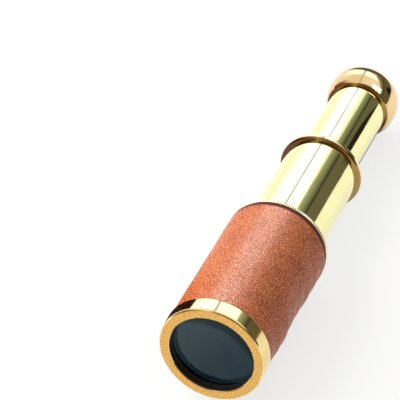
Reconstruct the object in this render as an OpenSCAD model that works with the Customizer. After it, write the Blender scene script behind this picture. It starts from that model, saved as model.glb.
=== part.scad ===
// Pocket spyglass: a leather-covered brass barrel, two brass draw tubes, a bezel with the
// objective at one end and a rounded eyecup at the other. Both draws are shown fully out.
//
// Sizes are in millimetres. The optical axis lies along X. x = 0 is the flat front face of
// the bezel, +X runs towards the eye, and +Z is up, with the spyglass lying on its barrel.

/* [Bezel and objective] */
// Height of the bezel's front edge over the leather
bezel_lip = 0.32; // [0:0.02:1.2]
// How much the bezel's radius grows towards the leather
bezel_flare = 0.2; // [0:0.05:0.5]
// Length of the bezel's outer band
bezel_len = 5.9; // [5.2:0.1:9]
// Rounding of the bezel's front edge
bezel_edge = 0.9; // [0.3:0.05:1.2]
// Rounding of the bezel's rear edge
bezel_back_edge = 0.25; // [0.1:0.05:0.6]
// Depth of the mouth in front of the objective, from the front face to the lens seat
mouth_depth = 3; // [2:0.1:3.4]
// Bevel round the front edge of the mouth
mouth_bevel = 0.3; // [0.1:0.05:0.5]
// Length of the inner lip that the objective bears on
lip_len = 1; // [0.9:0.05:1.3]
// How far that lip stands into the mouth
lip_w = 0.25; // [0.1:0.05:0.6]
// How much smaller the mouth's radius is than the objective's
lens_seat = 0.45; // [0.3:0.05:1]
// Wall of the bezel's skirt round the objective
skirt_wall = 0.64; // [0.5:0.02:1.2]
// Length of the bezel's threaded skirt inside the barrel
skirt_len = 3.1; // [2:0.1:3.3]
// Thickness of the objective at its rim
objective_rim = 1.2; // [0.8:0.1:1.6]
// Radius of curvature of the objective's front
objective_front_r = 110; // [100:1:200]
// Radius of curvature of the objective's back
objective_back_r = 64; // [50:1:150]
// Thickness of the ring that holds the objective
retainer_t = 1.6; // [1:0.1:2]
// Width of that ring
retainer_w = 1.2; // [0.8:0.1:2]
// Width of the two spanner slots in that ring
spanner_slot = 1; // [0.6:0.1:1.6]

/* [Barrel] */
// Outside diameter of the brass barrel under the leather
barrel_od = 32.2; // [30:0.1:40]
// Wall of the barrel
barrel_wall = 0.9; // [0.6:0.05:1.1]
// Length of the barrel between the bezel and the rim of its collar
barrel_len = 54.5; // [50:0.5:75]
// Thickness of the leather
leather_t = 1.05; // [0.6:0.05:1.3]
// Bare groove between the bezel and the leather
leather_front_gap = 0.2; // [0.1:0.05:0.6]
// Bare groove between the leather and the collar's rim
leather_rear_gap = 0.45; // [0.1:0.05:0.9]

/* [Barrel collar] */
// Depth of the collar's knurled rim below the surface of the leather
rim_drop = 0.08; // [0:0.02:0.4]
// Thickness of the rim
rim_t = 1.15; // [0.8:0.05:2]
// Number of grooves in the knurl
knurl_count = 144; // [60:4:180]
// Depth of the knurl
knurl_depth = 0.15; // [0.05:0.01:0.25]
// Length of the collar inside the barrel
rim_hub_len = 5.7; // [5:0.1:9]

/* [Middle draw] */
// Radial space between the middle tube and the barrel's bore
middle_space = 2.35; // [2.1:0.05:3]
// Wall of the middle tube
middle_wall = 0.7; // [0.5:0.05:0.9]
// Length of the middle tube that shows when it is out
middle_show = 41.3; // [36:0.1:45]
// Length of the guide bush on its front end
middle_bush_len = 4; // [3.2:0.1:5]
// Diameter of the hole in the baffle inside it
baffle_d = 15; // [10:0.5:20]
// Thickness of the baffle
baffle_t = 0.8; // [0.5:0.1:1.5]
// Depth of the baffle behind the front end of the tube
baffle_back = 1.2; // [0.5:0.1:3]

/* [Middle collar] */
// Height of the grip ring over the middle tube
ring_lip = 1.4; // [1.2:0.05:2.5]
// Thickness of the grip ring
ring_t = 2; // [1.6:0.1:4]
// Rounding of the grip ring's front edge
ring_edge = 1.1; // [0.4:0.05:1.2]
// Rounding of the grip ring's rear edge
ring_back_edge = 0.3; // [0.1:0.05:0.35]
// Length of the collar inside the middle tube
ring_hub_len = 5; // [4.8:0.1:8]

/* [Eye draw] */
// Radial space between the eye tube and the bore of the middle tube
eye_space = 2.2; // [2:0.05:2.8]
// Wall of the eye tube
eye_wall = 0.7; // [0.5:0.05:0.8]
// Length of the eye tube that shows when it is out
eye_show = 37.3; // [35:0.1:40]
// Length of the guide bush on its front end
eye_bush_len = 4; // [3.2:0.1:5]

/* [Spring rings and liners] */
// Width of each split spring ring along the tube
spring_w = 1.5; // [1:0.1:2]
// Depth of the groove that a spring ring rides in
spring_groove = 1.15; // [0.7:0.05:1.3]
// Gap where a spring ring is split
spring_split = 1.2; // [0.5:0.1:3]
// Thickness of the felt liners in the collars
felt_t = 0.6; // [0.4:0.05:0.9]
// Length of the felt liners
felt_len = 3.2; // [2:0.1:3.6]
// Lip of the collar in front of and behind a liner
felt_lip = 0.8; // [0.5:0.1:0.9]

/* [Erector] */
// Distance of the erector cell behind the front end of the eye tube
erector_back = 2.5; // [1:0.1:6]
// Length of the erector cell
erector_len = 17; // [16:0.5:22]
// Wall of the erector cell round its two lenses
erector_wall = 2.19; // [1:0.01:3]
// Thickness of these lenses at their rim
erector_rim = 1; // [0.8:0.1:1.4]
// Radius of curvature of both faces of these lenses
erector_r = 15.6; // [13:0.1:30]
// Depth of each end of the cell down to its lens seat
erector_pocket = 4.4; // [4:0.1:5]
// Width of the shoulders that these lenses bear on
erector_shoulder = 1; // [0.6:0.1:1.5]
// Thickness of the rings that hold the lenses
erector_ring_t = 1.4; // [1:0.1:1.8]
// Width of these rings
erector_ring_w = 0.9; // [0.6:0.1:1.2]
// Diameter of the hole in the stop between the lenses
stop_d = 4; // [2:0.1:7]
// Thickness of the stop
stop_t = 0.8; // [0.5:0.1:1.2]

/* [Eyepiece] */
// Length of the eyepiece cell
eyepiece_len = 14.4; // [14:0.1:18]
// Wall of the eyepiece cell round the field lens
field_wall = 1.09; // [0.7:0.01:1.6]
// Thickness of the field lens at its rim
field_rim = 1.1; // [0.8:0.1:1.5]
// Radius of curvature of both faces of the field lens
field_r = 26; // [20:0.5:60]
// Depth of the cell's front end down to the field lens seat
field_pocket = 5.8; // [5.4:0.1:6.4]
// Diameter of the opening in the field stop
field_stop_d = 11; // [8:0.1:13]
// Thickness of the field stop's lip
field_stop_t = 0.8; // [0.5:0.1:1.2]
// Wall of the field stop's skirt
field_skirt_w = 0.8; // [0.5:0.1:1]
// Length of the field stop's skirt
field_skirt_len = 2.6; // [1.6:0.1:2.8]
// Wall of the eyepiece cell round the eye lens
eye_lens_wall = 2.69; // [1.8:0.01:3.4]
// Thickness of the eye lens at its rim
eye_lens_rim = 1; // [0.8:0.1:1.4]
// Radius of curvature of both faces of the eye lens
eye_lens_r = 12.5; // [10:0.1:30]
// Depth of the cell's rear end down to the eye lens seat
eye_lens_pocket = 3.8; // [3.6:0.1:4.4]
// Width of the shoulder that the eye lens bears on
eye_shoulder = 1; // [0.6:0.1:1.5]
// Thickness of the ring that holds the eye lens
eye_ring_t = 1.4; // [1:0.1:1.6]
// Width of that ring
eye_ring_w = 0.9; // [0.6:0.1:1.2]

/* [Eyecup] */
// Height of the cup's widest place over the eye tube
cup_swell = 2.35; // [1.5:0.05:4]
// Length of the cup behind the eye tube
cup_len = 9.5; // [8.5:0.1:12]
// Distance of its widest place behind the eye tube
cup_belly = 6.2; // [5:0.1:7]
// Height of the cup's front shoulder over the eye tube
cup_shoulder = 0.45; // [0.2:0.05:0.8]
// Length of the spigot that screws into the eye tube
cup_spigot_len = 3.5; // [2.5:0.1:5]
// Wall of the spigot
cup_spigot_wall = 1.62; // [0.8:0.01:2]
// Depth of the cavity behind the spigot
cup_cavity = 2.7; // [1.5:0.1:3.2]
// Diameter of the hole that the eye looks through
eye_hole_d = 8; // [5:0.1:10]
// Thickness of the wall around that hole
eye_wall_t = 1.3; // [1:0.1:1.6]
// Width of the rounded lip around the dish
dish_lip = 2; // [1:0.1:3]

/* [Fits] */
// Radial gap between a fixed piece and its seat
seat_gap = 0.03; // [0.02:0.005:0.05]
// Radial gap between a draw and the collar it slides in
run_gap = 0.05; // [0.02:0.005:0.08]
// Radial gap between a spring ring and the tube it slides in
spring_gap = 0.03; // [0.02:0.005:0.05]
// Radial gap around a guide bush
bush_gap = 0.12; // [0.08:0.01:0.2]
// Radial gap between a felt liner and its tube
felt_gap = 0.1; // [0.08:0.01:0.15]
// Gap left between two faces that stop each other
stop_gap = 0.05; // [0.02:0.01:0.1]

/* [Hidden] */

$fn = 96;

// Steps in a quarter of a rounded profile
ARC_STEPS = 8;
// Extra depth of a cut past the face it leaves
CUT = 1;

// Radii of the three nested tubes
barrel_r = barrel_od / 2;
barrel_bore_r = barrel_r - barrel_wall;
middle_r = barrel_bore_r - middle_space;
middle_bore_r = middle_r - middle_wall;
eye_r = middle_bore_r - eye_space;
eye_bore_r = eye_r - eye_wall;

// Objective cell
skirt_r = barrel_bore_r - seat_gap;
pocket_r = skirt_r - skirt_wall;
objective_r = pocket_r - seat_gap;
mouth_r = objective_r - lens_seat;
lip_r = mouth_r - lip_w;
skirt_end_x = bezel_len + skirt_len;
objective_x = mouth_depth + seat_gap + rise(objective_front_r, objective_r, lip_r);
retainer_in_r = objective_r - retainer_w;
retainer_x = objective_x + objective_rim + seat_gap
    + rise(objective_back_r, objective_r, retainer_in_r);

// Barrel and its collar
barrel_end_x = bezel_len + barrel_len;
rim_end_x = barrel_end_x + rim_t;
rim_hub_x = barrel_end_x - rim_hub_len;
leather_in_r = barrel_r + seat_gap;
leather_out_r = leather_in_r + leather_t;
leather_x = bezel_len + leather_front_gap;
leather_len = barrel_len - leather_front_gap - leather_rear_gap;

// Middle draw, out as far as its bush allows
middle_bush_x = rim_hub_x - stop_gap - middle_bush_len;
ring_x = rim_end_x + middle_show;
ring_end_x = ring_x + ring_t;
ring_hub_x = ring_x - ring_hub_len;

// Eye draw, out as far as its bush allows
eye_bush_x = ring_hub_x - stop_gap - eye_bush_len;
cup_x = ring_end_x + eye_show;
cup_spigot_x = cup_x - cup_spigot_len;

// Erector cell inside the eye tube, with a lens and its ring in each end
inner_cell_r = eye_bore_r - seat_gap;
erector_x = eye_bush_x + erector_back;
erector_lens_r = inner_cell_r - erector_wall - seat_gap;
erector_bore_r = erector_lens_r - erector_shoulder;
erector_seat = seat_gap + rise(erector_r, erector_lens_r, erector_bore_r);
erector_ring_in_r = erector_lens_r - erector_ring_w;
erector_hold = seat_gap + rise(erector_r, erector_lens_r, erector_ring_in_r);
erector_front_seat_x = erector_x + erector_pocket;
erector_rear_seat_x = erector_x + erector_len - erector_pocket;
erector_front_lens_x = erector_front_seat_x - erector_seat - erector_rim;
erector_rear_lens_x = erector_rear_seat_x + erector_seat;

// Eyepiece cell between the erector and the eyecup's spigot
field_lens_r = inner_cell_r - field_wall - seat_gap;
eye_lens_rim_r = inner_cell_r - eye_lens_wall - seat_gap;
eyepiece_bore_r = eye_lens_rim_r - eye_shoulder;
field_skirt_in_r = field_lens_r - field_skirt_w;
eye_ring_in_r = eye_lens_rim_r - eye_ring_w;
eyepiece_x = cup_spigot_x - seat_gap - eyepiece_len;
field_seat_x = eyepiece_x + field_pocket;
field_lens_x = field_seat_x - seat_gap - rise(field_r, field_lens_r, eyepiece_bore_r)
    - field_rim;
field_skirt_x = field_lens_x - seat_gap - rise(field_r, field_lens_r, field_skirt_in_r)
    - field_skirt_len;
eye_seat_x = eyepiece_x + eyepiece_len - eye_lens_pocket;
eye_lens_x = eye_seat_x + seat_gap + rise(eye_lens_r, eye_lens_rim_r, eyepiece_bore_r);
eye_ring_x = eye_lens_x + eye_lens_rim + seat_gap
    + rise(eye_lens_r, eye_lens_rim_r, eye_ring_in_r);

// How far a spherical lens face of curvature radius c stands over its own rim of radius
// rim_r, at the radius where a seat's edge meets it
function rise(c, rim_r, edge_r) = sqrt(c * c - edge_r * edge_r) - sqrt(c * c - rim_r * rim_r);

// Turns a shape drawn as [radius, distance along X] about the optical axis
module turned() {
    rotate([0, 90, 0]) rotate_extrude() children();
}

// A plain ring or tube from x, with its outer and inner radius
module ring(x, length, outer_r, inner_r) {
    translate([x, 0, 0]) rotate([0, 90, 0]) difference() {
        cylinder(h = length, r = outer_r);
        translate([0, 0, -CUT]) cylinder(h = length + 2 * CUT, r = inner_r);
    }
}

// A solid disc from x, used for cuts
module disc(x, length, r) {
    translate([x, 0, 0]) rotate([0, 90, 0]) cylinder(h = length, r = r);
}

// Points of an arc about [r, x], from angle a0 to a1, with half-axes ar across and ax along
function arc(r, x, ar, ax, a0, a1) = [
    for (i = [0 : ARC_STEPS])
        let (a = a0 + (a1 - a0) * i / ARC_STEPS)
        [r + ar * cos(a), x + ax * sin(a)]
];

// Points of a spherical lens face of curvature radius c, from the axis out to radius r, with
// its rim at x. side is -1 for a face that bulges to the front and 1 for one to the back
function lens_face(x, r, c, side) =
    let (half_angle = asin(r / c), centre_x = x - side * sqrt(c * c - r * r))
    arc(0, centre_x, c, c, side * 90, side * (90 - half_angle));

// A lens whose rim starts at x, with both faces bulging outward
module lens(x, rim_t, rim_r, front_c, back_c) {
    front_face = lens_face(x, rim_r, front_c, -1);
    back_face = lens_face(x + rim_t, rim_r, back_c, 1);
    backwards = [for (i = [ARC_STEPS : -1 : 0]) back_face[i]];
    turned() polygon(concat(front_face, backwards));
}

// A threaded ring that holds a lens, with two spanner slots across one of its faces
module holding_ring(x, length, outer_r, inner_r, slot_x) {
    slot_depth = length / 2;
    difference() {
        ring(x, length, outer_r, inner_r);
        translate([slot_x, -outer_r - CUT, -spanner_slot / 2])
            cube([slot_depth, 2 * (outer_r + CUT), spanner_slot]);
    }
}

// A guide bush soldered round a tube's front end, with a groove for its spring ring
module guide_bush(x, length, bore_r, guide_r) {
    groove_w = spring_w + 2 * stop_gap;
    outer_r = guide_r - bush_gap;
    difference() {
        ring(x, length, outer_r, bore_r + seat_gap);
        ring(x + (length - groove_w) / 2, groove_w, guide_r, groove_r(guide_r));
    }
}

// Radius of the floor of the groove in a bush that runs in a tube of bore radius guide_r
function groove_r(guide_r) = guide_r - bush_gap - spring_groove;

// A split ring that rides in the bush's groove and presses on the tube's bore
module spring_ring(bush_x, bush_len, guide_r) {
    x = bush_x + (bush_len - spring_w) / 2;
    difference() {
        ring(x, spring_w, guide_r - spring_gap, groove_r(guide_r) + run_gap);
        translate([x - CUT, -spring_split / 2, 0])
            cube([spring_w + 2 * CUT, spring_split, guide_r]);
    }
}

// The recess for a felt liner in a collar whose hub starts at hub_x
module felt_recess(hub_x, tube_r) {
    ring(hub_x + felt_lip, felt_len, felt_seat_r(tube_r), tube_r);
}

function felt_seat_r(tube_r) = tube_r + felt_gap + felt_t + seat_gap;

// A felt liner round a tube of radius tube_r
module felt_liner(hub_x, tube_r) {
    ring(
        hub_x + felt_lip + seat_gap,
        felt_len - 2 * seat_gap,
        tube_r + felt_gap + felt_t,
        tube_r + felt_gap
    );
}

module barrel_tube() {
    color("goldenrod") ring(bezel_len, barrel_len, barrel_r, barrel_bore_r);
}

// Leather glued round the barrel
module leather_sleeve() {
    color("sienna") ring(leather_x, leather_len, leather_out_r, leather_in_r);
}

// Front cap and lens cell in one turned piece, with its skirt screwed into the barrel
module objective_bezel() {
    front_r = leather_out_r + bezel_lip;
    back_r = front_r + bezel_flare;
    lip_x = mouth_depth - lip_len;
    profile = concat(
        [[mouth_r, mouth_bevel], [mouth_r + mouth_bevel, 0]],
        arc(front_r - bezel_edge, bezel_edge, bezel_edge, bezel_edge, -90, 0),
        arc(
            back_r - bezel_back_edge, bezel_len - bezel_back_edge,
            bezel_back_edge, bezel_back_edge, 0, 90
        ),
        [
            [skirt_r, bezel_len], [skirt_r, skirt_end_x],
            [pocket_r, skirt_end_x], [pocket_r, mouth_depth],
            [lip_r, mouth_depth], [lip_r, lip_x], [mouth_r, lip_x]
        ]
    );
    color("gold") turned() polygon(profile);
}

module objective_lens() {
    color("darkslategray")
        lens(objective_x, objective_rim, objective_r, objective_front_r, objective_back_r);
}

module objective_retaining_ring() {
    slot_x = retainer_x + retainer_t / 2;
    color("black") holding_ring(retainer_x, retainer_t, objective_r, retainer_in_r, slot_x);
}

// Collar with a knurled rim behind the leather and a hub inside the barrel
module barrel_collar() {
    rim_r = leather_out_r - rim_drop;
    bore_r = middle_r + run_gap;
    step = 360 / knurl_count;
    knurl = [
        for (i = [0 : knurl_count - 1], high = [0, 1])
            let (r = rim_r - knurl_depth * (1 - high), a = step * (i + high / 2))
            [r * cos(a), r * sin(a)]
    ];
    color("gold") difference() {
        union() {
            translate([barrel_end_x, 0, 0]) rotate([0, 90, 0])
                linear_extrude(height = rim_t) polygon(knurl);
            disc(rim_hub_x, rim_hub_len, barrel_bore_r - seat_gap);
        }
        disc(rim_hub_x - CUT, rim_hub_len + rim_t + 2 * CUT, bore_r);
        felt_recess(rim_hub_x, middle_r);
    }
}

module barrel_felt_liner() {
    color("dimgray") felt_liner(rim_hub_x, middle_r);
}

module middle_spring_ring() {
    color("darkgoldenrod") spring_ring(middle_bush_x, middle_bush_len, barrel_bore_r);
}

module middle_tube() {
    color("khaki") ring(middle_bush_x, ring_x - middle_bush_x, middle_r, middle_bore_r);
}

module middle_guide_bush() {
    color("darkgoldenrod")
        guide_bush(middle_bush_x, middle_bush_len, middle_r, barrel_bore_r);
}

// Blackened disc that keeps stray light off the walls of the draws
module middle_baffle() {
    color("black")
        ring(middle_bush_x + baffle_back, baffle_t, middle_bore_r - seat_gap, baffle_d / 2);
}

// Collar with a rounded grip ring and a hub inside the middle tube
module middle_collar() {
    ring_r = middle_r + ring_lip;
    hub_r = middle_bore_r - seat_gap;
    bore_r = eye_r + run_gap;
    profile = concat(
        [[bore_r, ring_hub_x], [hub_r, ring_hub_x], [hub_r, ring_x]],
        arc(ring_r - ring_edge, ring_x + ring_edge, ring_edge, ring_edge, -90, 0),
        arc(
            ring_r - ring_back_edge, ring_end_x - ring_back_edge,
            ring_back_edge, ring_back_edge, 0, 90
        ),
        [[bore_r, ring_end_x]]
    );
    color("gold") difference() {
        turned() polygon(profile);
        felt_recess(ring_hub_x, eye_r);
    }
}

module middle_felt_liner() {
    color("dimgray") felt_liner(ring_hub_x, eye_r);
}

module eye_spring_ring() {
    color("darkgoldenrod") spring_ring(eye_bush_x, eye_bush_len, middle_bore_r);
}

module eye_tube() {
    color("khaki") ring(eye_bush_x, cup_x - eye_bush_x, eye_r, eye_bore_r);
}

module eye_guide_bush() {
    color("darkgoldenrod") guide_bush(eye_bush_x, eye_bush_len, eye_r, middle_bore_r);
}

// Short tube with a lens pocket at each end
module erector_cell() {
    pocket_r = erector_lens_r + seat_gap;
    color("darkgoldenrod") difference() {
        disc(erector_x, erector_len, inner_cell_r);
        disc(erector_x - CUT, erector_pocket + CUT, pocket_r);
        disc(erector_x - CUT, erector_len + 2 * CUT, erector_bore_r);
        disc(erector_rear_seat_x, erector_pocket + CUT, pocket_r);
    }
}

module erector_front_lens() {
    color("lightcyan")
        lens(erector_front_lens_x, erector_rim, erector_lens_r, erector_r, erector_r);
}

module erector_front_ring() {
    x = erector_front_lens_x - erector_hold - erector_ring_t;
    color("black") holding_ring(x, erector_ring_t, erector_lens_r, erector_ring_in_r, x);
}

// Blackened disc half way between the erector lenses
module erector_stop() {
    x = erector_x + (erector_len - stop_t) / 2;
    color("black") ring(x, stop_t, erector_bore_r - seat_gap, stop_d / 2);
}

module erector_rear_lens() {
    color("lightcyan")
        lens(erector_rear_lens_x, erector_rim, erector_lens_r, erector_r, erector_r);
}

module erector_rear_ring() {
    x = erector_rear_lens_x + erector_rim + erector_hold;
    slot_x = x + erector_ring_t / 2;
    color("black") holding_ring(x, erector_ring_t, erector_lens_r, erector_ring_in_r, slot_x);
}

// Tube with a pocket for the field lens in front and one for the eye lens behind
module eyepiece_cell() {
    color("darkgoldenrod") difference() {
        disc(eyepiece_x, eyepiece_len, inner_cell_r);
        disc(eyepiece_x - CUT, field_pocket + CUT, field_lens_r + seat_gap);
        disc(eyepiece_x - CUT, eyepiece_len + 2 * CUT, eyepiece_bore_r);
        disc(eye_seat_x, eye_lens_pocket + CUT, eye_lens_rim_r + seat_gap);
    }
}

// Ring with a thin front lip that frames the image, and a skirt that holds the field lens
module field_stop() {
    lip_x = field_skirt_x - field_stop_t;
    color("black") union() {
        ring(field_skirt_x, field_skirt_len, field_lens_r, field_skirt_in_r);
        ring(lip_x, field_stop_t, field_lens_r, field_stop_d / 2);
    }
}

module field_lens() {
    color("lightcyan") lens(field_lens_x, field_rim, field_lens_r, field_r, field_r);
}

module eye_lens() {
    color("lightcyan")
        lens(eye_lens_x, eye_lens_rim, eye_lens_rim_r, eye_lens_r, eye_lens_r);
}

module eye_lens_ring() {
    slot_x = eye_ring_x + eye_ring_t / 2;
    color("black") holding_ring(eye_ring_x, eye_ring_t, eye_lens_rim_r, eye_ring_in_r, slot_x);
}

// Rounded cup with a spigot in front, a cavity, a small eye hole and a dish for the eye
module eyecup() {
    spigot_r = eye_bore_r - seat_gap;
    spigot_bore_r = spigot_r - cup_spigot_wall;
    cavity_end_x = cup_x + cup_cavity;
    hole_r = eye_hole_d / 2;
    hole_end_x = cavity_end_x + eye_wall_t;
    belly_x = cup_x + cup_belly;
    end_x = cup_x + cup_len;
    shoulder_r = eye_r + cup_shoulder;
    cup_r = eye_r + cup_swell;
    dish_r = cup_r - dish_lip;
    lip_r = (cup_r + dish_r) / 2;
    profile = concat(
        [
            [hole_r, cavity_end_x], [spigot_bore_r, cavity_end_x],
            [spigot_bore_r, cup_spigot_x], [spigot_r, cup_spigot_x],
            [spigot_r, cup_x]
        ],
        arc(shoulder_r, belly_x, cup_r - shoulder_r, cup_belly, -90, 0),
        arc(lip_r, belly_x, cup_r - lip_r, cup_len - cup_belly, 0, 90),
        arc(dish_r, hole_end_x, hole_r - dish_r, end_x - hole_end_x, 90, 0)
    );
    color("gold") turned() polygon(profile);
}

barrel_tube();
leather_sleeve();
objective_bezel();
objective_lens();
objective_retaining_ring();
barrel_collar();
barrel_felt_liner();
middle_spring_ring();
middle_tube();
middle_guide_bush();
middle_baffle();
middle_collar();
middle_felt_liner();
eye_spring_ring();
eye_tube();
eye_guide_bush();
erector_cell();
erector_front_lens();
erector_front_ring();
erector_stop();
erector_rear_lens();
erector_rear_ring();
eyepiece_cell();
field_stop();
field_lens();
eye_lens();
eye_lens_ring();
eyecup();
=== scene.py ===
"""Looks of a leather-covered pocket spyglass with two brass draws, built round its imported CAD.

Everything is in metres in the CAD's own frame. The optical axis is X, with the bezel's front
face at x = 0, and the sections follow the spyglass from the bezel to the eyecup.
"""
import math

import bpy
import numpy as np
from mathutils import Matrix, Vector


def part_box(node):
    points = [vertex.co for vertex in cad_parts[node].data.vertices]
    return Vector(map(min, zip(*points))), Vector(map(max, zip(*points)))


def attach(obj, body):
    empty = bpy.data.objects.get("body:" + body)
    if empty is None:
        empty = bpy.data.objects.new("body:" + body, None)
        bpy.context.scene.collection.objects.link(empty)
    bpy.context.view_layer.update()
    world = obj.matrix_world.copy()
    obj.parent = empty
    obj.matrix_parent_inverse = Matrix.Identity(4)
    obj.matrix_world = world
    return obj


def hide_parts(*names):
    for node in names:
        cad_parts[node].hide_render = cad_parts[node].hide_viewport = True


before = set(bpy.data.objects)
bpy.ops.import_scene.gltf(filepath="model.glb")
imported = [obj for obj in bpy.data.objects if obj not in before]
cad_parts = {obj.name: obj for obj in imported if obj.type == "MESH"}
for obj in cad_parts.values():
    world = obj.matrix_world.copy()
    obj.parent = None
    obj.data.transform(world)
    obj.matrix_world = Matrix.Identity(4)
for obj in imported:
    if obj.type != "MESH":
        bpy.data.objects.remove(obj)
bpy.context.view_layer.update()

# Camera: a long lens looking down on the spyglass from in front of the bezel and a little to
# its side, as in the photograph.
CAMERA_AZIMUTH = math.radians(-69.1)
CAMERA_ELEVATION = math.radians(36.7)
CAMERA_DISTANCE = 1.076
CAMERA_AIM = Vector((0.06508, 0.0285, 0.00747))
CAMERA_LENS = 295.7
SENSOR_WIDTH = 36.0

camera = bpy.data.objects.new("camera", bpy.data.cameras.new("camera"))
camera.data.lens = CAMERA_LENS
camera.data.sensor_width = SENSOR_WIDTH
camera.data.clip_start = 0.05
camera.data.clip_end = 20.0
towards_camera = Vector((
    math.sin(CAMERA_AZIMUTH) * math.cos(CAMERA_ELEVATION),
    -math.cos(CAMERA_AZIMUTH) * math.cos(CAMERA_ELEVATION),
    math.sin(CAMERA_ELEVATION),
))
camera.location = CAMERA_AIM + towards_camera * CAMERA_DISTANCE
camera.rotation_euler = towards_camera.to_track_quat("Z", "Y").to_euler()
bpy.context.scene.collection.objects.link(camera)
bpy.context.scene.camera = camera
bpy.context.scene.view_settings.view_transform = "Standard"


# Studio: a pale tent, which reflections see with a bright ceiling beyond the eyecup, a thin dark
# wire across it and an olive wall on the near side; its soft lights follow further down.
def add(tree, kind, sockets=None, **settings):
    """Adds one shader node; a value that is itself a socket is linked, any other one is set."""
    made = tree.nodes.new(kind)
    for name, value in settings.items():
        setattr(made, name, value)
    for key, value in (sockets or {}).items():
        if isinstance(value, bpy.types.NodeSocket):
            tree.links.new(value, made.inputs[key])
        else:
            made.inputs[key].default_value = value
    return made


def sum_of(tree, operation, *values):
    """The result of one Math node: operation applied to the values, in order."""
    return add(tree, "ShaderNodeMath", dict(enumerate(values)), operation=operation).outputs[0]


def ramp(tree, value, low, high, start=0.0, end=1.0):
    """A smooth step of value: start below low, end above high, and an S-curve between them."""
    made = add(
        tree, "ShaderNodeMapRange",
        {"Value": value, "From Min": low, "From Max": high, "To Min": start, "To Max": end},
        interpolation_type="SMOOTHSTEP",
    )
    return made.outputs["Result"]


def tint(tree, factor, first, second):
    """The first colour where factor is 0 and the second where it is 1."""
    made = add(tree, "ShaderNodeMix", {0: factor, 6: first, 7: second}, data_type="RGBA")
    return made.outputs[2]


# Tones of the tent.
PALE_WALL = (0.92, 0.92, 0.90, 1)
CEILING = (0.95, 0.94, 0.92, 1)
BRIGHT_CEILING = (2.15, 2.15, 2.25, 1)
WIRE_HALO = (1.12, 1.18, 2.00, 1)
SHADE_SIDE = (0.38, 0.38, 0.37, 1)
OLIVE_WALL = (0.130, 0.120, 0.085, 1)
WIRE_OLIVE = (0.22, 0.29, 0.09, 1)
ROOM_BROWN = (0.16, 0.105, 0.055, 1)
WARM_BROWN = (0.30, 0.13, 0.07, 1)
# The olive wall's tone at each height of the line of sight.
WALL_TONES = (
    (0.40, OLIVE_WALL), (0.43, (0.05, 0.048, 0.03, 1)), (0.45, (0.05, 0.048, 0.03, 1)),
    (0.48, (0.12, 0.125, 0.095, 1)), (0.555, (0.25, 0.275, 0.20, 1)), (0.61, (0.40, 0.43, 0.36, 1)),
)
# Where each part of the tent begins and where it is in full, as X, Y or Z of the line of sight.
NEAR_CEILING_Z = (0.617, 0.637)
FAR_CEILING_Z = (0.0, 0.58)
FAR_HALF_Y = (-0.15, 0.15)
BRIGHT_END_X = (0.60, 0.70)
SHADE_SIDE_Y = (-0.35, 0.15)
SHADE_SIDE_Z = (0.45, 0.75)
OLIVE_WALL_Y = (-0.24, -0.20)
OLIVE_END_X = (0.79, 0.84)
BROWN_CORNER_X = (0.24, 0.32)
BROWN_CORNER_Y = (0.32, 0.56)
BROWN_CORNER_Z = (0.40, 0.78)
# The wire's place, its half width with its soft edge, and the edge of the dimmer strip round it.
WIRE_Y = 0.20
WIRE_HALF = (0.012, 0.032)
WIRE_DEPTH = 0.70
HALO_HALF = (0.04, 0.09)
# The camera's side of the room, as the cosine between a line of sight and the camera's.
CAMERA_SIDE = (0.76, 0.86)
FRINGE = 0.030
FRINGE_SCALE = 260.0

world = bpy.data.worlds.new("tent")
bpy.context.scene.world = world
world.use_nodes = True
sky = world.node_tree
sky.nodes.clear()
towards = add(sky, "ShaderNodeTexCoord").outputs["Generated"]
direction = add(sky, "ShaderNodeSeparateXYZ", {"Vector": towards}).outputs
rise = direction["Z"]
fringe = add(sky, "ShaderNodeTexNoise",
             {"Vector": towards, "Scale": FRINGE_SCALE, "Detail": 2.0})
height = sum_of(sky, "MULTIPLY_ADD", fringe.outputs["Fac"], FRINGE,
                sum_of(sky, "SUBTRACT", rise, FRINGE / 2))
near_ceiling = ramp(sky, height, *NEAR_CEILING_Z)
far_ceiling = ramp(sky, rise, *FAR_CEILING_Z)
far_half = ramp(sky, direction["Y"], *FAR_HALF_Y)
ceiling = sum_of(sky, "ADD", sum_of(sky, "MULTIPLY", far_ceiling, far_half),
                 sum_of(sky, "MULTIPLY", near_ceiling, sum_of(sky, "SUBTRACT", 1.0, far_half)))
off_wire = sum_of(sky, "ABSOLUTE", sum_of(sky, "SUBTRACT", direction["Y"], WIRE_Y))
bright = tint(sky, ramp(sky, off_wire, *HALO_HALF), WIRE_HALO, BRIGHT_CEILING)
overhead = tint(sky, ramp(sky, direction["X"], *BRIGHT_END_X), CEILING, bright)
light = tint(sky, ceiling, PALE_WALL, overhead)
fill = sum_of(sky, "MULTIPLY", ramp(sky, direction["Y"], *SHADE_SIDE_Y, 1.0, 0.0),
              ramp(sky, rise, *SHADE_SIDE_Z, 1.0, 0.0))
plain = tint(sky, fill, light, SHADE_SIDE)
wire = ramp(sky, off_wire, *WIRE_HALF, WIRE_DEPTH, 0.0)
light = tint(sky, sum_of(sky, "MULTIPLY", wire, ceiling), light, WIRE_OLIVE)
wall = add(sky, "ShaderNodeValToRGB", {"Fac": height})
while len(wall.color_ramp.elements) < len(WALL_TONES):
    wall.color_ramp.elements.new(1.0)
for stop, (place, tone) in zip(wall.color_ramp.elements, WALL_TONES):
    stop.position, stop.color = place, tone
below = sum_of(sky, "SUBTRACT", 1.0, near_ceiling)
olive_side = sum_of(sky, "MULTIPLY", ramp(sky, direction["Y"], *OLIVE_WALL_Y, 1.0, 0.0), below)
light = tint(sky, olive_side, light, wall.outputs["Color"])
olive_end = sum_of(sky, "MULTIPLY", ramp(sky, direction["X"], *OLIVE_END_X), below)
light = tint(sky, olive_end, light, OLIVE_WALL)
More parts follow.
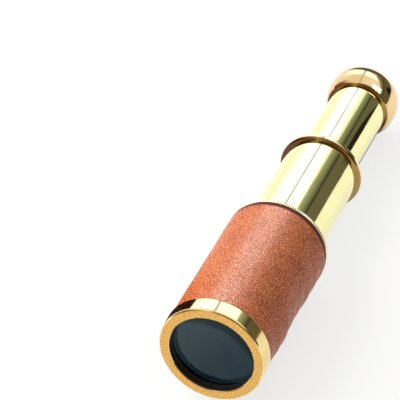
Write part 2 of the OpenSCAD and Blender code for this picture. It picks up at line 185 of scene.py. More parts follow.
corner = sum_of(sky, "MULTIPLY", ramp(sky, direction["Y"], *BROWN_CORNER_Y),
                ramp(sky, direction["X"], *BROWN_CORNER_X, 1.0, 0.0))
corner = sum_of(sky, "MULTIPLY", corner, ramp(sky, rise, *BROWN_CORNER_Z, 1.0, 0.0))
light = tint(sky, corner, light, WARM_BROWN)
facing = add(sky, "ShaderNodeVectorMath", {0: towards, 1: tuple(towards_camera)},
             operation="DOT_PRODUCT").outputs["Value"]
light = tint(sky, ramp(sky, facing, *CAMERA_SIDE), light, ROOM_BROWN)
light = tint(sky, add(sky, "ShaderNodeLightPath").outputs["Is Glossy Ray"], plain, light)
tent = add(sky, "ShaderNodeBackground", {"Color": light, "Strength": 1.0})
add(sky, "ShaderNodeOutputWorld", {"Surface": tent.outputs[0]})


# Lights: a key light high on the far side, which reflections don't show, a gloss light that
# reaches only the leather, and a small window that reaches only the eyecup.
def soft_light(name, place, target, width, height, watts, colour):
    """A rectangular area light at place that faces target."""
    lamp = bpy.data.lights.new(name, "AREA")
    lamp.shape = "RECTANGLE"
    lamp.size = width
    lamp.size_y = height
    lamp.energy = watts
    lamp.color = colour
    holder = bpy.data.objects.new(name, lamp)
    holder.location = place
    holder.rotation_euler = (Vector(place) - Vector(target)).to_track_quat("Z", "Y").to_euler()
    bpy.context.scene.collection.objects.link(holder)
    return holder


WARM_WHITE = (1.0, 0.97, 0.93)
MID_BARREL = (0.06, 0, 0)
CUP_SHOULDER = (0.148, -0.005, 0.008)

key_light = soft_light("key_light", (-0.06, 0.71, 0.62), MID_BARREL, width=0.8, height=0.8,
                       watts=14.8, colour=WARM_WHITE)
key_light.visible_glossy = False
gloss_light = soft_light("gloss_light", (0.736, 0.165, 0.580), MID_BARREL, width=0.55,
                         height=0.24, watts=14.0, colour=WARM_WHITE)
window = soft_light("window", (0.155, -0.078, 0.097), CUP_SHOULDER, width=0.060, height=0.056,
                    watts=0.11, colour=(1.0, 1.0, 1.0))
for lamp in (gloss_light, window):
    lamp.visible_diffuse = False
    lamp.visible_transmission = False

# Board: the floor, tilted a little, since the spyglass lies on the lower edge of its barrel
# collar and on its eyecup's belly; under the eye tube a painted shadow darkens its glow, which only
# the metal's reflections show.
# Each foot is an x and a z on the board.
COLLAR_FOOT = (0.06155, -0.0171)
EYECUP_FOOT = (0.14894, -0.01229)
FLOOR_HALF = 2.5

slope = (EYECUP_FOOT[1] - COLLAR_FOOT[1]) / (EYECUP_FOOT[0] - COLLAR_FOOT[0])
corners = [(x, y, COLLAR_FOOT[1] + slope * (x - COLLAR_FOOT[0]))
           for x, y in ((-FLOOR_HALF, -FLOOR_HALF), (FLOOR_HALF, -FLOOR_HALF),
                        (FLOOR_HALF, FLOOR_HALF), (-FLOOR_HALF, FLOOR_HALF))]
board_mesh = bpy.data.meshes.new("board")
board_mesh.from_pydata(corners, [], [(0, 1, 2, 3)])
board = bpy.data.objects.new("board", board_mesh)
bpy.context.scene.collection.objects.link(board)


def new_finish(name, metallic, roughness):
    """A material with one Principled shader, and that shader."""
    finish = bpy.data.materials.new(name)
    finish.use_nodes = True
    finish.node_tree.nodes.clear()
    shader = add(finish.node_tree, "ShaderNodeBsdfPrincipled",
                 {"Metallic": metallic, "Roughness": roughness})
    add(finish.node_tree, "ShaderNodeOutputMaterial", {"Surface": shader.outputs[0]})
    return finish, finish.node_tree, shader


BOARD_GREY = (0.14, 0.14, 0.14, 1)
BOARD_PALE = (0.16, 0.16, 0.16, 1)
GLOW_WHITE = (1.0, 1.0, 1.0, 1)
GLOW_GREY = (0.97, 0.97, 0.97, 1)
GLOW_STRENGTH = 0.76
SHADE_BROWN = (0.03, 0.025, 0.02, 1)
# The shade's middle line is at y = -SHADE_SHIFT; the pairs are where it ends and begins.
SHADE_SHIFT = 0.002
SHADE_HALF = (0.005, 0.012)
SHADE_FRONT_X = (0.100, 0.112)
SHADE_REAR_X = (0.148, 0.162)

board_paint, tree, shader = new_finish("board_paint", 0.0, 0.75)
place = add(tree, "ShaderNodeTexCoord").outputs["Object"]
grain = add(tree, "ShaderNodeTexNoise", {"Vector": place, "Scale": 14.0, "Detail": 3.0})
tree.links.new(tint(tree, grain.outputs["Fac"], BOARD_GREY, BOARD_PALE),
               shader.inputs["Base Color"])
glow = tint(tree, grain.outputs["Fac"], GLOW_GREY, GLOW_WHITE)
spot = add(tree, "ShaderNodeSeparateXYZ", {"Vector": place}).outputs
shade = ramp(tree, sum_of(tree, "ABSOLUTE", sum_of(tree, "ADD", spot["Y"], SHADE_SHIFT)),
             *SHADE_HALF, 1.0, 0.0)
shade = sum_of(tree, "MULTIPLY", shade, ramp(tree, spot["X"], *SHADE_FRONT_X))
shade = sum_of(tree, "MULTIPLY", shade, ramp(tree, spot["X"], *SHADE_REAR_X, 1.0, 0.0))
shade = sum_of(tree, "MULTIPLY", shade, add(tree, "ShaderNodeLightPath").outputs["Is Glossy Ray"])
tree.links.new(tint(tree, shade, glow, SHADE_BROWN), shader.inputs["Emission Color"])
shader.inputs["Emission Strength"].default_value = GLOW_STRENGTH
board.data.materials.append(board_paint)

# Two dark-brown screens, which only reflections in the metal show: one stands beside the bezel
# and the other, which is nearly black, hangs beyond the eyecup.
SCREEN_BY_BEZEL = [(0.016, 0.030, -0.0200), (0.046, 0.030, -0.0180), (0.046, 0.030, 0.034),
                   (0.020, 0.030, 0.022)]
SCREEN_BY_EYECUP = [(0.208, -0.100, 0.012), (0.256, -0.100, 0.012), (0.252, -0.100, 0.050),
                    (0.220, -0.100, 0.050)]
BETWEEN_SCREENS_X = (0.15, 0.20)
SCREEN_DEEP = (0.026, 0.010, 0.005, 1)
SCREEN_BROWN = (0.045, 0.018, 0.008, 1)
SCREEN_BLACK = (0.006, 0.005, 0.002, 1)

screen_mesh = bpy.data.meshes.new("screen")
screen_mesh.from_pydata(SCREEN_BY_BEZEL + SCREEN_BY_EYECUP, [], [(0, 1, 2, 3), (4, 5, 6, 7)])
screen = bpy.data.objects.new("screen", screen_mesh)
bpy.context.scene.collection.objects.link(screen)
for seen_by in ("camera", "diffuse", "shadow", "transmission", "volume_scatter"):
    setattr(screen, f"visible_{seen_by}", False)
screen_paint, tree, shader = new_finish("screen_paint", 0.0, 0.8)
place = add(tree, "ShaderNodeTexCoord").outputs["Object"]
grain = add(tree, "ShaderNodeTexNoise", {"Vector": place, "Scale": 60.0, "Detail": 3.0})
along = add(tree, "ShaderNodeSeparateXYZ", {"Vector": place}).outputs["X"]
brown = tint(tree, grain.outputs["Fac"], SCREEN_DEEP, SCREEN_BROWN)
tree.links.new(tint(tree, ramp(tree, along, *BETWEEN_SCREENS_X), brown, SCREEN_BLACK),
               shader.inputs["Base Color"])
shader.inputs["Specular IOR Level"].default_value = 0.1
screen.data.materials.append(screen_paint)


# Barrel tube: the drawn brass tube under the leather, left satin outside, where it shows only
# in the grooves beside the leather, and blackened inside against stray light.
def new_effect(name, inputs, outputs):
    """A shader node group with the named sockets: returns its tree and its input sockets."""
    effect = bpy.data.node_groups.new(name, "ShaderNodeTree")
    for label, kind in inputs:
        effect.interface.new_socket(label, in_out="INPUT", socket_type=kind)
    for label, kind in outputs:
        effect.interface.new_socket(label, in_out="OUTPUT", socket_type=kind)
    return effect, effect.nodes.new("NodeGroupInput").outputs


def give(effect, **values):
    """Links the group's results to its output sockets."""
    sockets = {label.replace("_", " "): value for label, value in values.items()}
    add(effect, "NodeGroupOutput", sockets)


def use(tree, effect, **values):
    """Places a node group in a material with its own values, and returns its outputs."""
    made = tree.nodes.new("ShaderNodeGroup")
    made.node_tree = effect
    for label, value in values.items():
        socket = made.inputs[label.replace("_", " ")]
        if isinstance(value, bpy.types.NodeSocket):
            tree.links.new(value, socket)
        else:
            socket.default_value = value
    return made.outputs


VALUE = "NodeSocketFloat"
PLACE = "NodeSocketVector"
ROUND_PER_METRE = 60.0

# Lathe marks follow circles about the axis: noise that changes fast with x plus the radius.
lathe_marks, given = new_effect(
    "lathe_marks", [("Place", PLACE), ("Per metre", VALUE)],
    [("Marks", VALUE), ("Radius", VALUE), ("Along", VALUE)],
)
part = add(lathe_marks, "ShaderNodeSeparateXYZ", {"Vector": given["Place"]}).outputs
across = sum_of(lathe_marks, "ADD", sum_of(lathe_marks, "MULTIPLY", part["Y"], part["Y"]),
                sum_of(lathe_marks, "MULTIPLY", part["Z"], part["Z"]))
radius = sum_of(lathe_marks, "SQRT", across)
sweep = sum_of(lathe_marks, "MULTIPLY", sum_of(lathe_marks, "ADD", radius, part["X"]),
               given["Per metre"])
spun = add(lathe_marks, "ShaderNodeCombineXYZ", {
    "X": sweep,
    "Y": sum_of(lathe_marks, "MULTIPLY", part["Y"], ROUND_PER_METRE),
    "Z": sum_of(lathe_marks, "MULTIPLY", part["Z"], ROUND_PER_METRE),
})
noise = add(lathe_marks, "ShaderNodeTexNoise",
            {"Vector": spun.outputs[0], "Scale": 1.0, "Detail": 3.0, "Roughness": 0.6})
give(lathe_marks, Marks=noise.outputs["Fac"], Radius=radius, Along=part["X"])

# Tarnish: broad soft clouds, fine mottling, and sparse dark specks.
tarnish, given = new_effect(
    "tarnish", [("Place", PLACE)], [("Clouds", VALUE), ("Mottle", VALUE), ("Specks", VALUE)]
)
clouds = add(tarnish, "ShaderNodeTexNoise",
             {"Vector": given["Place"], "Scale": 95.0, "Detail": 4.0, "Roughness": 0.6})
mottle = add(tarnish, "ShaderNodeTexNoise",
             {"Vector": given["Place"], "Scale": 1500.0, "Detail": 4.0, "Roughness": 0.65})
spots = add(tarnish, "ShaderNodeTexVoronoi", {"Vector": given["Place"], "Scale": 900.0})
rare = ramp(tarnish, spots.outputs["Color"], 0.80, 0.86)
near = ramp(tarnish, spots.outputs["Distance"], 0.16, 0.34, 1.0, 0.0)
give(tarnish, Clouds=ramp(tarnish, clouds.outputs["Fac"], 0.35, 0.68),
     Mottle=ramp(tarnish, mottle.outputs["Fac"], 0.33, 0.67),
     Specks=sum_of(tarnish, "MULTIPLY", rare, near))


def relief(tree, shader, height, depth, strength=1.0):
    """Feeds a height between 0 and 1, worth depth metres, to the shader's normal."""
    bump = add(tree, "ShaderNodeBump",
               {"Height": height, "Distance": depth, "Strength": strength})
    tree.links.new(bump.outputs["Normal"], shader.inputs["Normal"])


def dress(finish, *names):
    """Gives CAD nodes a finish through their objects' own material slots."""
    for name in names:
        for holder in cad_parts[name].material_slots:
            holder.material = finish


TUBE_SATIN = (0.62, 0.40, 0.14, 1)
TUBE_DULL = (0.40, 0.24, 0.08, 1)
TUBE_BLACK = (0.012, 0.011, 0.010, 1)
# Past these radii the tube is outside metal.
TUBE_WALL_R = (0.0155, 0.0158)

tube_finish, tree, shader = new_finish("barrel_tube_satin", 1.0, 0.35)
place = add(tree, "ShaderNodeTexCoord").outputs["Object"]
spin = use(tree, lathe_marks, Place=place, Per_metre=4000.0)
patina = use(tree, tarnish, Place=place)
outside = ramp(tree, spin["Radius"], *TUBE_WALL_R)
brass = tint(tree, patina["Clouds"], TUBE_SATIN, TUBE_DULL)
tree.links.new(tint(tree, outside, TUBE_BLACK, brass), shader.inputs["Base Color"])
tree.links.new(ramp(tree, outside, 0.0, 1.0), shader.inputs["Metallic"])
tree.links.new(ramp(tree, patina["Mottle"], 0.0, 1.0, 0.30, 0.50), shader.inputs["Roughness"])
relief(tree, shader, spin["Marks"], 0.00002, 0.5)
dress(tube_finish, "barrel_tube")

# Leather sleeve: one piece of tan pebbled leather 1 mm thick, wrapped tight round the barrel
# and glued, its two long edges skived and lapped by 2 mm underneath and its ends burnished dark,
# with painted shade added there; its colour also carries painted shade in the pores and crease
# valleys and painted highlights on some pebble tops and on the crease ridges.
LEATHER_IN_R = 0.01614
LEATHER_OUT_R = 0.01718
LEATHER_FRONT = 0.00610
LEATHER_REAR = 0.05995
LEATHER_EDGE = 0.00030
LEATHER_ROWS = 200
LEATHER_STEPS = 400
EDGE_STEPS = 6
SEAM_ANGLE = -1.35
SEAM_HALF = 0.016
SEAM_DEPTH = 0.00035
# Each patch of creases: its x and angle, its reach in x and angle, their spacing and strength.
CREASES = ((0.0208, 2.15, 0.0042, 0.55, 0.00115, 1.0), (0.0140, 2.50, 0.0045, 0.35, 0.0013, 0.8),
           (0.0260, 1.25, 0.0070, 0.40, 0.0021, 0.25), (0.0440, 1.60, 0.0060, 0.50, 0.0017, 0.2))
CREASE_DEPTH = 0.00010
# The slack side's angle and reach, and its bulges and hollows: x, reach in x and height.
SLACK_ANGLE = 3.35
SLACK_REACH = 0.45
SLACK_WAVES = ((0.0205, 0.0050, 0.00034), (0.0345, 0.0075, -0.00046), (0.0120, 0.0030, -0.00020))
SLACK_RIPPLE = 0.00012
RIPPLE_PER_METRE = 900
UNEVENNESS = 0.00007


def closed_skin(name, across, around=LEATHER_STEPS):
    """A closed surface of revolution. across(angle) gives the section's (x, radius) loop as two
    arrays of shape (points, steps); point (i, j) lies at angle 2 pi j / around about X, at
    y = radius cos(angle), z = radius sin(angle). Both ways round the grid is closed."""
    angle = np.linspace(0.0, 2 * np.pi, around, endpoint=False)[None, :]
    x, r = across(angle)
    x = np.broadcast_to(x, r.shape)
    points = np.stack([x, r * np.cos(angle), r * np.sin(angle)], axis=-1)
    rows = r.shape[0]
    i, j = np.meshgrid(np.arange(rows), np.arange(around), indexing="ij")
    down, right = (i + 1) % rows, (j + 1) % around
    quads = np.stack([i * around + j, i * around + right, down * around + right,
                      down * around + j], axis=-1).reshape(-1, 4)
    mesh = bpy.data.meshes.new(name)
    mesh.from_pydata(points.reshape(-1, 3), [], quads.tolist())
    mesh.shade_smooth()
    made = bpy.data.objects.new(name, mesh)
    bpy.context.scene.collection.objects.link(made)
    return made


def crease_wave(x, angle):
    """Fine creases that run round the barrel in a few patches, from -1 in a valley to 1 on a
    ridge: a sine of x, bent a little with the angle, faded by a bell round each patch."""
    wave = np.zeros(np.broadcast(x, angle).shape)
    for at_x, at_angle, length, width, spacing, strength in CREASES:
        patch = np.exp(-((x - at_x) / length) ** 2 - ((angle - at_angle) / width) ** 2)
        bent = x + 0.0005 * np.sin(3 * angle) + 0.0003 * np.sin(11 * angle)
        wave += strength * patch * np.sin(2 * np.pi * bent / spacing)
    return wave


def leather_relief(x, angle):
    """How far the leather's surface stands off its even radius, in metres: the creases; on the
    slack side a bell round each bulge and hollow plus a ripple, faded by a bell of the angle; a
    product of two slow sines all over; and a bell-shaped groove along the seam."""
    lift = CREASE_DEPTH * crease_wave(x, angle)
    slack = SLACK_RIPPLE * np.sin(RIPPLE_PER_METRE * x)
    for at_x, reach, height in SLACK_WAVES:
        slack = slack + height * np.exp(-((x - at_x) / reach) ** 2)
    lift += np.exp(-((angle - SLACK_ANGLE) / SLACK_REACH) ** 2) * slack
    lift += UNEVENNESS * np.sin(5 * angle + 160 * x) * np.sin(210 * x + 2 * angle)
    off_seam = (angle - SEAM_ANGLE + np.pi) % (2 * np.pi) - np.pi
    lift -= SEAM_DEPTH * np.exp(-(off_seam / SEAM_HALF) ** 2)
    return lift


def leather_section(angle):
    """The leather's cross-section loop: the outside from front to rear, a rounded rear edge,
    the inside back to the front, and a rounded front edge."""
    along = np.linspace(LEATHER_FRONT + LEATHER_EDGE, LEATHER_REAR - LEATHER_EDGE, LEATHER_ROWS)
    turn = np.linspace(0, np.pi / 2, EDGE_STEPS)[1:, None]
    outer_x = along[:, None]
    outer_r = LEATHER_OUT_R + leather_relief(outer_x, angle)
    rear_x = outer_x[-1] + LEATHER_EDGE * np.sin(turn)
    rear_r = outer_r[-1] - LEATHER_EDGE * (1 - np.cos(turn))
    inner_x = np.array([[LEATHER_REAR], [LEATHER_FRONT]])
    inner_r = np.full((2, angle.shape[1]), LEATHER_IN_R)
    front_x = outer_x[0] - LEATHER_EDGE * np.cos(turn - turn[0])
    front_r = outer_r[0] - LEATHER_EDGE * (1 - np.sin(turn - turn[0]))
    x = np.concatenate([outer_x, rear_x, inner_x, front_x])
    return x, np.concatenate([outer_r, rear_r, inner_r, front_r])


leather = closed_skin("leather_cover", leather_section)
# The crease wave is kept on the leather's points, so that its finish can paint shade in the crease
# valleys and highlight on the ridges.
spots = np.zeros(len(leather.data.vertices) * 3)
leather.data.vertices.foreach_get("co", spots)
spots = spots.reshape(-1, 3)
crease_paint_wave = crease_wave(spots[:, 0], np.arctan2(spots[:, 2], spots[:, 1]) % (2 * np.pi))
crease = leather.data.attributes.new("crease", "FLOAT", "POINT")
crease.data.foreach_set("value", crease_paint_wave.astype(np.float32))
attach(leather, "barrel")
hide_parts("leather_sleeve")

LEATHER_TAN = (0.56, 0.125, 0.028, 1)
LEATHER_PALE_AND_HIGHLIGHT = (0.88, 0.345, 0.110, 1)
LEATHER_BROWN = (0.41, 0.075, 0.014, 1)
LEATHER_PAINTED_SHADE = (0.13, 0.018, 0.006, 1)
LEATHER_END_DYE_AND_SHADE = (0.085, 0.014, 0.006, 1)
LEATHER_SHINE = 0.22
LEATHER_SHEEN = (0.28, 0.45)
LEATHER_GRAIN = 0.00007
WARP = 0.00040
PEBBLES_PER_METRE = 2400.0
# The x between which each end's dark dye and painted shade fade in or out.
REAR_END_DARK_X = (0.05815, 0.05875)
FRONT_END_DARK_X = (0.00630, 0.00670)

leather_finish, tree, shader = new_finish("tan_pebbled_leather", 0.0, 0.45)
shader.inputs["Specular IOR Level"].default_value = LEATHER_SHINE
place = add(tree, "ShaderNodeTexCoord").outputs["Object"]
spin = use(tree, lathe_marks, Place=place, Per_metre=700.0)
warp = add(tree, "ShaderNodeTexNoise", {"Vector": place, "Scale": 700.0, "Detail": 2.0})
bent = add(tree, "ShaderNodeVectorMath",
           {0: warp.outputs["Color"], "Scale": WARP}, operation="SCALE")
wrung = add(tree, "ShaderNodeVectorMath", {0: place, 1: bent.outputs[0]}, operation="ADD")
pebble = add(tree, "ShaderNodeTexVoronoi",
             {"Vector": wrung.outputs[0], "Scale": PEBBLES_PER_METRE})
pore = ramp(tree, pebble.outputs["Distance"], 0.34, 0.62)
# Painted highlight: the tops of some pebbles are lightened.
pebble_top_highlight = sum_of(tree, "MULTIPLY", ramp(tree, pebble.outputs["Distance"], 0.20, 0.46, 1.0, 0.0),
                ramp(tree, pebble.outputs["Color"], 0.35, 0.65))
fine = add(tree, "ShaderNodeTexNoise",
           {"Vector": place, "Scale": 3400.0, "Detail": 2.0, "Roughness": 0.7})
patch = add(tree, "ShaderNodeTexNoise",
            {"Vector": place, "Scale": 120.0, "Detail": 4.0, "Roughness": 0.6})
hide = tint(tree, ramp(tree, patch.outputs["Fac"], 0.35, 0.7), LEATHER_TAN, LEATHER_BROWN)
hide = tint(tree, ramp(tree, fine.outputs["Fac"], 0.50, 0.66, 0.0, 0.35), hide, LEATHER_PALE_AND_HIGHLIGHT)
hide = tint(tree, pebble_top_highlight, hide, LEATHER_PALE_AND_HIGHLIGHT)
# Painted shade: the hollows between the pebbles are darkened.
hide = tint(tree, sum_of(tree, "MULTIPLY", pore, 0.7), hide, LEATHER_PAINTED_SHADE)
# Painted shade in the crease valleys and painted highlight on the crease ridges.
crease_light_paint = add(tree, "ShaderNodeAttribute", attribute_name="crease").outputs["Fac"]
hide = tint(tree, ramp(tree, crease_light_paint, -0.9, -0.1, 0.7, 0.0), hide, LEATHER_PAINTED_SHADE)
hide = tint(tree, ramp(tree, crease_light_paint, 0.3, 0.9, 0.0, 0.6), hide, LEATHER_PALE_AND_HIGHLIGHT)
# Painted shade: each end darkens where it meets the bezel or the collar, on top of its dark dye.
rear_dye_and_shade = ramp(tree, spin["Along"], *REAR_END_DARK_X)
front_dye_and_shade = ramp(tree, spin["Along"], *FRONT_END_DARK_X, 1.0, 0.0)
end_dye_and_shade = sum_of(tree, "MAXIMUM", rear_dye_and_shade, front_dye_and_shade)
tree.links.new(tint(tree, end_dye_and_shade, hide, LEATHER_END_DYE_AND_SHADE), shader.inputs["Base Color"])
sheen = ramp(tree, pore, 0.0, 1.0, *LEATHER_SHEEN)
tree.links.new(sum_of(tree, "MAXIMUM", sheen, sum_of(tree, "MULTIPLY", end_dye_and_shade, 0.9)),
               shader.inputs["Roughness"])
height = sum_of(tree, "SUBTRACT", sum_of(tree, "MULTIPLY", fine.outputs["Fac"], 0.5), pore)
relief(tree, shader, height, LEATHER_GRAIN)
leather.data.materials.append(leather_finish)


def shine_only_on(lamp, piece):
    """Lets a light reach one piece alone, so that no other piece mirrors the lamp's outline."""
    reached = bpy.data.collections.new(lamp.name + "_reaches")
    reached.objects.link(piece)
    lamp.light_linking.receiver_collection = reached


shine_only_on(gloss_light, leather)

# Objective bezel: front cap and lens cell turned in one piece from brass bar, its face left
# satin from facing, its band buffed bright and its bore blackened; it screws into the barrel.
MM = 0.001
# Corners as x, radius and ease, in millimetres, as in every outline below.
BEZEL_PROFILE = (
    (0, 14.35, 0.06), (0, 17.5, 0.9), (5.9, 17.7, 0.25), (5.9, 15.17, 0.03), (9.0, 15.17, 0.15),
    (9.0, 14.53, 0.1), (3.0, 14.53, 0.03), (3.0, 13.8, 0.05), (2.0, 13.8, 0.05),
    (2.0, 14.05, 0.03), (0.3, 14.05, 0.06),
)
EASE_STEPS = 10
HOLD = 0.03
TURNED_STEPS = 256


def eased_loop(corners):
    """The (x, radius) points of a closed outline in metres, from corners in millimetres given
    as (x, radius, ease). Each corner is replaced by a parabola that leaves one side and meets
    the other at the distance ease; a point just past each end keeps the straight sides flat."""
    table = np.array(corners, float)
    at, ease = table[:, :2], table[:, 2:3]
    back, ahead = np.roll(at, 1, axis=0) - at, np.roll(at, -1, axis=0) - at
    back /= np.linalg.norm(back, axis=1, keepdims=True)
    ahead /= np.linalg.norm(ahead, axis=1, keepdims=True)
    t = np.linspace(0, 1, EASE_STEPS)[None, :, None]
    start, end = (at + back * ease)[:, None], (at + ahead * ease)[:, None]
    curve = (1 - t) ** 2 * start + 2 * t * (1 - t) * at[:, None] + t ** 2 * end
    hold = np.minimum(HOLD, ease)[:, None]
    before, after = start + back[:, None] * hold, end + ahead[:, None] * hold
    return np.concatenate([before, curve, after], axis=1).reshape(-1, 2) * MM


def turned_skin(name, outline, crease=40):
    """A turned piece: its closed outline swept about X, with edges sharper than crease degrees
    kept crisp."""
    made = closed_skin(
        name, lambda angle: (outline[:, :1], outline[:, 1:] + 0 * angle), TURNED_STEPS
    )
    made.data.set_sharp_from_angle(angle=math.radians(crease))
    return made


def fit(piece, body, node):
    """Puts a new piece in its CAD node's place: it rides on the body, and the CAD node is hidden.
    """
    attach(piece, body)
    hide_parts(node)


bezel = turned_skin("bezel", eased_loop(BEZEL_PROFILE))
fit(bezel, "barrel", "objective_bezel")

FACE_GOLD = (0.90, 0.560, 0.180, 1)
FACE_DEEP = (0.64, 0.335, 0.065, 1)
BAND_GOLD = (0.97, 0.82, 0.42, 1)
BAND_DEEP = (0.86, 0.64, 0.26, 1)
SPECK_BROWN = (0.22, 0.11, 0.03, 1)
BORE_BLACK = (0.010, 0.009, 0.008, 1)
# The satin face gives way to the band between these x, and the black bore to the face between
# these radii.
FACE_END_X = (0.00006, 0.00014)
MOUTH_END_R = (0.01410, 0.01414)
# Roughness where the metal is clean, and what tarnish adds to it.
FACE_ROUGH = 0.27
FACE_TARNISHED = 0.14
BAND_ROUGH = 0.07
BAND_TARNISHED = 0.05
BORE_ROUGH = 0.45

bezel_finish, tree, shader = new_finish("bezel_brass", 1.0, 0.2)
place = add(tree, "ShaderNodeTexCoord").outputs["Object"]
spin = use(tree, lathe_marks, Place=place, Per_metre=5200.0)
patina = use(tree, tarnish, Place=place)
face = ramp(tree, spin["Along"], *FACE_END_X, 1.0, 0.0)
blackened = ramp(tree, spin["Radius"], *MOUTH_END_R, 1.0, 0.0)
satin = tint(tree, patina["Mottle"], FACE_DEEP, FACE_GOLD)
bright = tint(tree, patina["Clouds"], BAND_GOLD, BAND_DEEP)
metal = tint(tree, face, bright, satin)
specked = sum_of(tree, "MULTIPLY", sum_of(tree, "MULTIPLY", patina["Specks"], face), 0.6)
metal = tint(tree, specked, metal, SPECK_BROWN)
tree.links.new(tint(tree, blackened, metal, BORE_BLACK), shader.inputs["Base Color"])
tree.links.new(ramp(tree, blackened, 0.0, 1.0, 1.0, 0.0), shader.inputs["Metallic"])
gloss = sum_of(tree, "MULTIPLY_ADD", patina["Mottle"], FACE_TARNISHED, FACE_ROUGH)
shine = sum_of(tree, "MULTIPLY_ADD", patina["Clouds"], BAND_TARNISHED, BAND_ROUGH)
rough = sum_of(tree, "ADD", sum_of(tree, "MULTIPLY", face, gloss),
               sum_of(tree, "MULTIPLY", sum_of(tree, "SUBTRACT", 1.0, face), shine))
tree.links.new(sum_of(tree, "MAXIMUM", rough, sum_of(tree, "MULTIPLY", blackened, BORE_ROUGH)),
               shader.inputs["Roughness"])
relief(tree, shader, spin["Marks"], 0.000012, 0.2)
bezel.data.materials.append(bezel_finish)

# Objective: a polished glass disc with a blue-green bloom, dropped into the bezel from behind
# and held by a blackened slotted ring; its coat paints a reflection that brightens across it.
LENS_RIM_R = 0.0145
LENS_RIM = 0.0012
LENS_FRONT_CURVE = 0.110
LENS_BACK_CURVE = 0.064
LENS_RINGS = 28
LENS_STEPS = 128


def lens_skin(name, rim_x, rim_t, rim_r, front_curve, back_curve):
    """A closed lens. Each face is a sphere: a point at radius r lies sqrt(c^2 - r^2) -
    sqrt(c^2 - rim^2) outside the rim's plane, for the face's radius of curvature c. Rings of
    points run from the front's middle out over the rim and back to the rear's middle."""
    r = rim_r * np.linspace(0, 1, LENS_RINGS + 1)[1:]
    front = rim_x - (np.sqrt(front_curve ** 2 - r ** 2) - np.sqrt(front_curve ** 2 - rim_r ** 2))
    back = rim_x + rim_t + (np.sqrt(back_curve ** 2 - r ** 2)
                            - np.sqrt(back_curve ** 2 - rim_r ** 2))
    x = np.concatenate([front, back[::-1]])[:, None]
    radii = np.concatenate([r, r[::-1]])[:, None]
    angle = np.linspace(0, 2 * np.pi, LENS_STEPS, endpoint=False)[None, :]
    ringed = np.stack([x + 0 * angle, radii * np.cos(angle), radii * np.sin(angle)], axis=-1)
    front_pole = rim_x - (front_curve - np.sqrt(front_curve ** 2 - rim_r ** 2))
    back_pole = rim_x + rim_t + back_curve - np.sqrt(back_curve ** 2 - rim_r ** 2)
    points = np.concatenate([ringed.reshape(-1, 3), [[front_pole, 0, 0], [back_pole, 0, 0]]])
    rows = len(radii)
    i, j = np.meshgrid(np.arange(rows - 1), np.arange(LENS_STEPS), indexing="ij")
    right = (j + 1) % LENS_STEPS
    quads = np.stack([i * LENS_STEPS + j, i * LENS_STEPS + right,
                      (i + 1) * LENS_STEPS + right, (i + 1) * LENS_STEPS + j], axis=-1)
    step = np.arange(LENS_STEPS)
    following, last = (step + 1) % LENS_STEPS, (rows - 1) * LENS_STEPS
    front_fan = np.stack([following, step, step * 0 + len(points) - 2], axis=-1)
    back_fan = np.stack([last + step, last + following, step * 0 + len(points) - 1], axis=-1)
    mesh = bpy.data.meshes.new(name)
    mesh.from_pydata(points, [], quads.reshape(-1, 4).tolist() + front_fan.tolist()
                     + back_fan.tolist())
    mesh.shade_smooth()
    mesh.set_sharp_from_angle(angle=math.radians(30))
    made = bpy.data.objects.new(name, mesh)
    bpy.context.scene.collection.objects.link(made)
    return made


lens_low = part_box("objective_lens")[0]
front_sag = LENS_FRONT_CURVE - math.sqrt(LENS_FRONT_CURVE ** 2 - LENS_RIM_R ** 2)
objective = lens_skin("objective", lens_low.x + front_sag, LENS_RIM, LENS_RIM_R,
                      LENS_FRONT_CURVE, LENS_BACK_CURVE)
fit(objective, "barrel", "objective_lens")

BLOOM_TEAL = (0.52, 0.78, 0.84, 1)
BLOOM_BLUE = (0.44, 0.62, 0.80, 1)
BLOOM_GLEAM = (0.45, 0.80, 0.98, 1)
BLOOMED_IOR = 1.37
COAT_IOR = 1.26
COAT_HAZE = 0.04
# Painted reflection: the coat's reflection strengthens from the near lower side to the far upper
# side, with y plus z.
REFLECTION_FALLOFF_ACROSS = (-0.012, 0.022)

objective_finish, tree, shader = new_finish("coated_objective_glass", 0.0, 0.02)
shader.inputs["IOR"].default_value = BLOOMED_IOR
shader.inputs["Specular Tint"].default_value = BLOOM_GLEAM
shader.inputs["Transmission Weight"].default_value = 1.0
shader.inputs["Coat IOR"].default_value = COAT_IOR
shader.inputs["Coat Roughness"].default_value = COAT_HAZE
place = add(tree, "ShaderNodeTexCoord").outputs["Object"]
part = add(tree, "ShaderNodeSeparateXYZ", {"Vector": place}).outputs
tree.links.new(ramp(tree, sum_of(tree, "ADD", part["Y"], part["Z"]), *REFLECTION_FALLOFF_ACROSS),
               shader.inputs["Coat Weight"])
bloom = add(tree, "ShaderNodeTexNoise", {"Vector": place, "Scale": 60.0, "Detail": 2.0})
tree.links.new(tint(tree, ramp(tree, bloom.outputs["Fac"], 0.3, 0.7), BLOOM_TEAL, BLOOM_BLUE),
               shader.inputs["Base Color"])
smears = add(tree, "ShaderNodeTexNoise",
             {"Vector": place, "Scale": 220.0, "Detail": 4.0, "Distortion": 0.8})
tree.links.new(ramp(tree, smears.outputs["Fac"], 0.45, 0.75, 0.015, 0.07),
               shader.inputs["Roughness"])
objective.data.materials.append(objective_finish)

# Lens dust: a few pale flecks of lint and grit that lie loose on the objective's front, where
# no cloth has reached them.
DUST_COUNT = 34
DUST_SEED = 7
DUST_REACH = 0.0130
DUST_SIZE = (0.00004, 0.00011)
DUST_STRETCH = (0.5, 1.3)
DUST_GREY = (0.30, 0.34, 0.34, 1)
DUST_PALE = (0.62, 0.66, 0.64, 1)

chance = np.random.default_rng(DUST_SEED)
reach = DUST_REACH * np.sqrt(chance.random(DUST_COUNT))
turn = 2 * np.pi * chance.random(DUST_COUNT)
size = chance.uniform(*DUST_SIZE, DUST_COUNT)
sag = LENS_FRONT_CURVE - np.sqrt(LENS_FRONT_CURVE ** 2 - reach ** 2)
middle = np.stack([lens_low.x + sag, reach * np.cos(turn), reach * np.sin(turn)], axis=-1)
